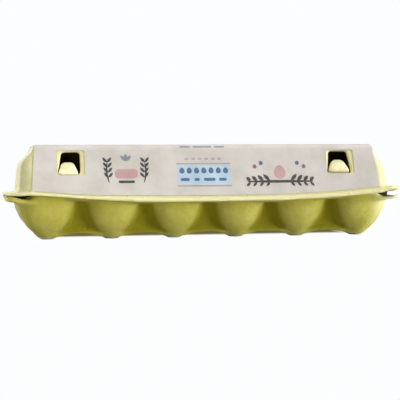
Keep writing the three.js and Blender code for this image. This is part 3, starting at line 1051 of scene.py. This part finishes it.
def stem_print(x, run):
    """Straight leafy stem, alike on both sides of a rose egg that stands on it, with four dots."""
    yield "dark", stroke([(x + way, run - 5) for way in STEM_WAYS], 2.2)
    yield "rose", egg(x, run + 2.6, 9, 11)
    for side in (-1, 1):
        for step in range(STEM_LEAVES):
            foot_x = x + side * (8 + 5 * step)
            yield "dark", leaf(foot_x, run - 4.6, 7.4 - step, 2.8, 90 - side * 42)
            yield "dark", leaf(foot_x, run - 5.4, 4.6, 2.0, side * 42 - 90)
        yield "dark_blue", egg(x + side * 14, run + 10, 3.0, 3.4)
        yield "red", egg(x + side * 19, run + 7.2, 3.0, 3.4)


def top_print(run):
    """Row of eggs and leaves between two rules."""
    for side in (-1, 1):
        yield "grey", block(0, run + side * TOP_PITCH, 190, 0.9, 0.3)
    for step in range(TOP_EGGS):
        x = (step - (TOP_EGGS - 1) / 2) * TOP_PITCH
        yield ("slate" if step % 2 else "rose"), egg(x, run, 9.5, 12.5)
        if step < TOP_EGGS - 1:
            yield "dark", leaf(x + 8, run - 4, 9, 2.6, 70)
            yield "dark", leaf(x + 13, run - 4, 9, 2.6, 110)


def back_print(run):
    """Panel of marks, plain lines and a rose patch with bars."""
    yield "pale_blue", block(BACK_PANEL_X, run, 46, 15, 1.0)
    for step in range(9):
        yield "dark_blue", egg(BACK_PANEL_X - 20 + 5 * step, run + 3.4, 3.6, 4.8, math.pi)
    for offset, width in BACK_DASHES:
        yield "dark_blue", bar(BACK_PANEL_X + offset, run - 3.6, width, 2.2)
    for line, width in enumerate(BACK_LINES):
        yield "grey", bar(width / 2 - 25, run + 8 - 4 * line, width, 1.3)
    yield "rose", block(BACK_PATCH_X, run, 24, 12, 2.4)
    for step in range(3):
        yield "dark", bar(BACK_PATCH_X, run + 3.4 - 3.4 * step, 16 - 3 * step, 1.6)


def print_pieces():
    """One thin piece for each ink, laid on the label. The print has no lettering."""
    shapes = [
        *grain_print(*GRAIN_MIDDLE), *panel_print(*PANEL_MIDDLE), *stem_print(*STEM_MIDDLE),
        *top_print(HALF_RUN), *back_print(2 * HALF_RUN - BACK_LINE),
    ]
    pieces = {}
    for level, name in enumerate(INKS):
        top = LABEL_THICKNESS + INK_LIFT + INK_STEP * level
        shells = [
            sheet_shell(shape, LABEL_THICKNESS - INK_SINK, top) for ink, shape in shapes if ink == name
        ]
        pieces[name] = add_object("print_" + name, *joined(shells))
        shade_smooth(pieces[name], SHARP_EDGE)
    return pieces


# Materials

class Nodes:
    """Short names for building one material's nodes."""

    def __init__(self, name):
        self.material = bpy.data.materials.new(name)
        self.material.use_nodes = True
        self.tree = self.material.node_tree
        self.shader = self.tree.nodes["Principled BSDF"]
        coordinate = self.tree.nodes.new("ShaderNodeTexCoord")
        self.place = coordinate.outputs["Object"]

    def link(self, start, end):
        self.tree.links.new(start, end)

    def feed(self, socket, value):
        """Give a socket a link, a colour or a number."""
        if isinstance(value, bpy.types.NodeSocket):
            self.link(value, socket)
        elif isinstance(value, tuple):
            socket.default_value = (*value, 1)
        else:
            socket.default_value = value

    def set(self, name, value):
        """Value of one of the material's own inputs."""
        self.feed(self.shader.inputs[name], value)

    def tone(self, name):
        """Value that a piece stores for each point."""
        node = self.tree.nodes.new("ShaderNodeAttribute")
        node.attribute_name = name
        return node.outputs["Fac"]

    def noise(self, wavelength, detail=2.0, roughness=0.5, distortion=0.0, stretch=None):
        """Noise whose wavelength is in millimetres."""
        node = self.tree.nodes.new("ShaderNodeTexNoise")
        node.inputs["Scale"].default_value = 1 / (wavelength * MM)
        node.inputs["Detail"].default_value = detail
        node.inputs["Roughness"].default_value = roughness
        node.inputs["Distortion"].default_value = distortion
        source = self.place
        if stretch is not None:
            mapping = self.tree.nodes.new("ShaderNodeMapping")
            mapping.inputs["Scale"].default_value = stretch
            self.link(self.place, mapping.inputs["Vector"])
            source = mapping.outputs["Vector"]
        self.link(source, node.inputs["Vector"])
        return node.outputs["Fac"]

    def ramp(self, value, stops):
        """Colour ramp: stops are (place, colour)."""
        node = self.tree.nodes.new("ShaderNodeValToRGB")
        while len(node.color_ramp.elements) < len(stops):
            node.color_ramp.elements.new(0.5)
        for element, (place, colour) in zip(node.color_ramp.elements, stops):
            element.position = place
            element.color = (*colour, 1)
        self.link(value, node.inputs["Fac"])
        return node.outputs["Color"]

    def mix(self, share, first, second, blend="MIX"):
        node = self.tree.nodes.new("ShaderNodeMix")
        node.data_type = "RGBA"
        node.blend_type = blend
        self.feed(node.inputs["Factor"], share)
        self.feed(node.inputs[6], first)
        self.feed(node.inputs[7], second)
        return node.outputs[2]

    def math(self, operation, first, second):
        node = self.tree.nodes.new("ShaderNodeMath")
        node.operation = operation
        self.feed(node.inputs[0], first)
        self.feed(node.inputs[1], second)
        return node.outputs[0]

    def bump(self, height, distance, strength=1.0, normal=None):
        """Bump of a height of 0 to 1, whose full depth is in millimetres."""
        node = self.tree.nodes.new("ShaderNodeBump")
        node.inputs["Strength"].default_value = strength
        node.inputs["Distance"].default_value = distance * MM
        self.link(height, node.inputs["Height"])
        if normal is not None:
            self.link(normal, node.inputs["Normal"])
        return node.outputs["Normal"]


def linear(text):
    """Linear colour of an sRGB hex colour."""
    values = [int(text[i:i + 2], 16) / 255 for i in (0, 2, 4)]
    return tuple(v / 12.92 if v <= 0.04045 else ((v + 0.055) / 1.055) ** 2.4 for v in values)


def pulp_material(name, main, pale, deep, painted_light=None, painted_shade=None):
    """Moulded pulp: blotchy yellow-green fibres with a matte, slightly felted surface."""
    nodes = Nodes(name)
    broad = nodes.noise(38, 3, 0.55)
    base = nodes.ramp(broad, ((0.32, deep), (0.52, main), (0.72, pale)))
    mottle = nodes.noise(4.5, 4, 0.6, 0.4)
    mottled = nodes.mix(0.35, base, nodes.ramp(mottle, ((0.35, deep), (0.65, pale))))
    # Painted light and painted shade, by the two tones stored on the piece's points
    if painted_light is not None:
        mottled = nodes.mix(nodes.tone("pale"), mottled, painted_light)
        mottled = nodes.mix(nodes.tone("painted_shade"), mottled, painted_shade)
    fibre = nodes.noise(1.1, 3, 0.7, 1.6, (1.0, 1.0, 2.2))
    light = nodes.ramp(fibre, ((0.60, (0, 0, 0)), (0.72, (1, 1, 1))))
    paler = nodes.mix(1.0, mottled, (1.25, 1.25, 1.5), "MULTIPLY")
    fibred = nodes.mix(nodes.math("MULTIPLY", light, 0.5), mottled, paler)
    speck = nodes.noise(1.7, 2, 0.5, 0.8)
    dark = nodes.ramp(speck, ((0.26, (1, 1, 1)), (0.33, (0, 0, 0))))
    darker = nodes.mix(1.0, fibred, (0.55, 0.53, 0.4), "MULTIPLY")
    coloured = nodes.mix(nodes.math("MULTIPLY", dark, 0.6), fibred, darker)
    nodes.set("Base Color", coloured)
    rough = nodes.ramp(mottle, ((0.3, (0.82,) * 3), (0.7, (0.95,) * 3)))
    nodes.set("Roughness", rough)
    nodes.set("Specular IOR Level", 0.25)
    nodes.set("Sheen Weight", 0.15)
    nodes.set("Sheen Tint", (1.0, 0.97, 0.75))
    nodes.set("Sheen Roughness", 0.4)
    felt = nodes.bump(nodes.noise(2.6, 5, 0.62, 0.6), 0.5, 0.75)
    grain = nodes.bump(nodes.noise(0.7, 3, 0.6, 1.2), 0.16, 0.7, felt)
    nodes.set("Normal", grain)
    return nodes.material


def paper_material(name, main, pale, deep):
    """Label paper: uncoated grey stock, faintly cloudy, with fine fibres."""
    nodes = Nodes(name)
    cloud = nodes.noise(22, 4, 0.6)
    base = nodes.ramp(cloud, ((0.3, deep), (0.5, main), (0.7, pale)))
    fibre = nodes.noise(0.9, 3, 0.7, 1.0, (0.6, 1.0, 1.0))
    flecked = nodes.mix(nodes.math("MULTIPLY", nodes.ramp(
        fibre, ((0.58, (0, 0, 0)), (0.74, (1, 1, 1)))), 0.18), base, deep)
    nodes.set("Base Color", flecked)
    nodes.set("Roughness", 0.62)
    nodes.set("Specular IOR Level", 0.3)
    tooth = nodes.bump(nodes.noise(0.6, 3, 0.6), 0.04, 0.5)
    wave = nodes.bump(nodes.noise(14, 2, 0.5), 0.25, 0.4, tooth)
    nodes.set("Normal", wave)
    return nodes.material


def ink_material(name, colour, paper):
    """Printing ink that lets a little of the paper through."""
    nodes = Nodes(name)
    cover = nodes.ramp(nodes.noise(1.3, 4, 0.7), ((0.42, (0.12,) * 3), (0.7, (0.0,) * 3)))
    tone = nodes.ramp(nodes.noise(16, 3, 0.5), (
        (0.3, tuple(v * 0.9 for v in colour)), (0.7, tuple(min(1, v * 1.12) for v in colour))))
    nodes.set("Base Color", nodes.mix(cover, tone, paper))
    nodes.set("Roughness", 0.55)
    nodes.set("Specular IOR Level", 0.3)
    nodes.set("Normal", nodes.bump(nodes.noise(0.6, 3, 0.6), 0.03, 0.5))
    return nodes.material


# Build the pieces

# Colours of the pulp: main, pale and deep, then its painted highlight and its painted shade
TRAY_COLOURS = ("bab452", "c4bf66", "aca33d", "e9e7cc", "8f8712")
LID_COLOURS = ("cfcb9e", "d9d6b0", "c3be8c", "dfd8a0", "3a3010")
# Tongues: a paler copy of the pulp, painted light where they face up into the lamps
TONGUE_LIT_COLOURS = ("e9e2b8", "efeac8", "dcd4a4")
PAPER_COLOURS = ("c5bfb9", "ccc7c1", "bab3ab")

tray = tray_piece()
lid = lid_piece()
tongues = [tongue_piece(*values) for values in TONGUES]
label = label_piece()
prints = print_pieces()

tray.data.materials.append(pulp_material("tray_pulp", *map(linear, TRAY_COLOURS)))
lid.data.materials.append(pulp_material("lid_pulp", *map(linear, LID_COLOURS)))
# Paler pulp on the tongues: painted light
tongue_lit_pulp = pulp_material("tongue_lit_pulp", *map(linear, TONGUE_LIT_COLOURS))
for piece in tongues:
    piece.data.materials.append(tongue_lit_pulp)
label.data.materials.append(paper_material("label_paper", *map(linear, PAPER_COLOURS)))
for name, piece in prints.items():
    ink = ink_material("ink_" + name, linear(INKS[name]), linear(PAPER_COLOURS[0]))
    piece.data.materials.append(ink)

for piece in (tray, lid, *tongues):
    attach(piece, "root")
    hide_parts("carton")
for piece in (label, *prints.values()):
    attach(piece, "root")
    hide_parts("label")

# Floor, light and camera, in metres

FLOOR_HALF = 4.0
FLOOR_COLOUR = (0.56, 0.55, 0.5)
FLOOR_SEEN = (0.975, 0.99, 0.995)
SHADOW_COLOUR = (0.16, 0.13, 0.05)
# The shadow under the carton: middle, half size and soft edge along each axis
SHADOW = (("X", 0.0, 0.110, 0.010), ("Y", 0.020, 0.018, 0.014))
WORLD_SEEN = (0.97, 0.99, 1.0, 1)
WORLD_LIGHT = 0.06
# Distant lights: name, azimuth, elevation, strength and spread, with azimuth 90 to the right
SUNS = (
    ("key", 88, 4, 1.2, 16),
    ("key_front", 58, 4, 0.85, 16),
    ("fill", -50, 42, 0.3, 20),
    ("top", -10, 60, 0.24, 30),
    ("back", 150, 70, 0.5, 20),
    ("rim", -158, 8, 0.9, 10),
)
LOW_LIGHT_PLACE = (-0.26, -0.27, 0.04)
LOW_LIGHT_AIM = (-0.10, -0.05, 0.02)
LOW_LIGHT_POWER = 0.14
LOW_LIGHT_SIZE = 0.12
CAMERA_PLACE = (-0.1809, -0.9629, 0.0838)
CAMERA_DOWN = 3.347
CAMERA_TURN = -10.682
CAMERA_LENS = 113.7


def split_for_camera(tree, lit, seen, output):
    """One shader lights the scene, and the camera sees the other."""
    path = tree.nodes.new("ShaderNodeLightPath")
    either = tree.nodes.new("ShaderNodeMixShader")
    tree.links.new(path.outputs["Is Camera Ray"], either.inputs["Fac"])
    tree.links.new(lit, either.inputs[1])
    tree.links.new(seen, either.inputs[2])
    tree.links.new(either.outputs["Shader"], tree.nodes[output].inputs["Surface"])


def floor_material():
    """To the camera the floor is white, as in the photo, but for the shadow under the carton."""
    nodes = Nodes("floor")
    nodes.set("Base Color", FLOOR_COLOUR)
    nodes.set("Roughness", 0.9)
    glow = nodes.tree.nodes.new("ShaderNodeEmission")
    axes = nodes.tree.nodes.new("ShaderNodeSeparateXYZ")
    nodes.link(nodes.place, axes.inputs[0])
    beside = []
    for axis, middle, half, edge in SHADOW:
        away = nodes.math("ABSOLUTE", nodes.math("SUBTRACT", axes.outputs[axis], middle), 0.0)
        beside.append(nodes.math("DIVIDE", nodes.math("SUBTRACT", away, half), edge))
    outside = nodes.math("MAXIMUM", *beside)
    outside = nodes.math("MINIMUM", nodes.math("MAXIMUM", outside, 0.0), 1.0)
    nodes.link(nodes.mix(outside, SHADOW_COLOUR, FLOOR_SEEN), glow.inputs["Color"])
    split_for_camera(nodes.tree, nodes.shader.outputs["BSDF"], glow.outputs["Emission"], "Material Output")
    return nodes.material


def floor_piece():
    mesh = bpy.data.meshes.new("floor")
    corners = [(FLOOR_HALF * x, FLOOR_HALF * y, 0) for x, y in ((-1, -1), (1, -1), (1, 1), (-1, 1))]
    mesh.from_pydata(corners, [], [(0, 1, 2, 3)])
    mesh.materials.append(floor_material())
    piece = bpy.data.objects.new("floor", mesh)
    bpy.context.collection.objects.link(piece)
    return piece


def set_world():
    """Even light from all round, which the camera sees as white."""
    world = bpy.data.worlds.new("studio")
    bpy.context.scene.world = world
    world.use_nodes = True
    tree = world.node_tree
    background = tree.nodes["Background"]
    background.inputs["Color"].default_value = (1.0, 1.0, 1.0, 1)
    background.inputs["Strength"].default_value = WORLD_LIGHT
    seen = tree.nodes.new("ShaderNodeBackground")
    seen.inputs["Color"].default_value = WORLD_SEEN
    seen.inputs["Strength"].default_value = 1.0
    split_for_camera(tree, background.outputs[0], seen.outputs[0], "World Output")


def add_lamp(name, light, way):
    """New lamp that shines along a direction."""
    lamp = bpy.data.objects.new(name, light)
    lamp.rotation_euler = way.to_track_quat("-Z", "Y").to_euler()
    bpy.context.collection.objects.link(lamp)
    return lamp


def add_sun(name, azimuth, elevation, strength, spread):
    """Distant light. A white face turned to it is as bright as its strength."""
    azimuth, elevation = math.radians(azimuth), math.radians(elevation)
    way = Vector((
        math.sin(azimuth) * math.cos(elevation),
        -math.cos(azimuth) * math.cos(elevation),
        math.sin(elevation),
    ))
    light = bpy.data.lights.new(name, "SUN")
    light.energy = strength * math.pi
    light.angle = math.radians(spread)
    add_lamp(name, light, -way)


def add_low_light():
    """Soft light from low on the left, which falls off along the row of cups."""
    light = bpy.data.lights.new("low_left", "AREA")
    light.energy = LOW_LIGHT_POWER
    light.size = LOW_LIGHT_SIZE
    lamp = add_lamp("low_left", light, Vector(LOW_LIGHT_AIM) - Vector(LOW_LIGHT_PLACE))
    lamp.location = LOW_LIGHT_PLACE
    lamp.visible_camera = False


def add_camera():
    data = bpy.data.cameras.new("camera")
    data.sensor_width = 36
    data.lens = CAMERA_LENS
    data.clip_end = 20
    camera = bpy.data.objects.new("camera", data)
    camera.location = CAMERA_PLACE
    camera.rotation_euler = (math.radians(90 - CAMERA_DOWN), 0, math.radians(CAMERA_TURN))
    bpy.context.collection.objects.link(camera)
    bpy.context.scene.camera = camera


floor = floor_piece()
set_world()
for values in SUNS:
    add_sun(*values)
add_low_light()
add_camera()
bpy.context.scene.view_settings.view_transform = "Standard"
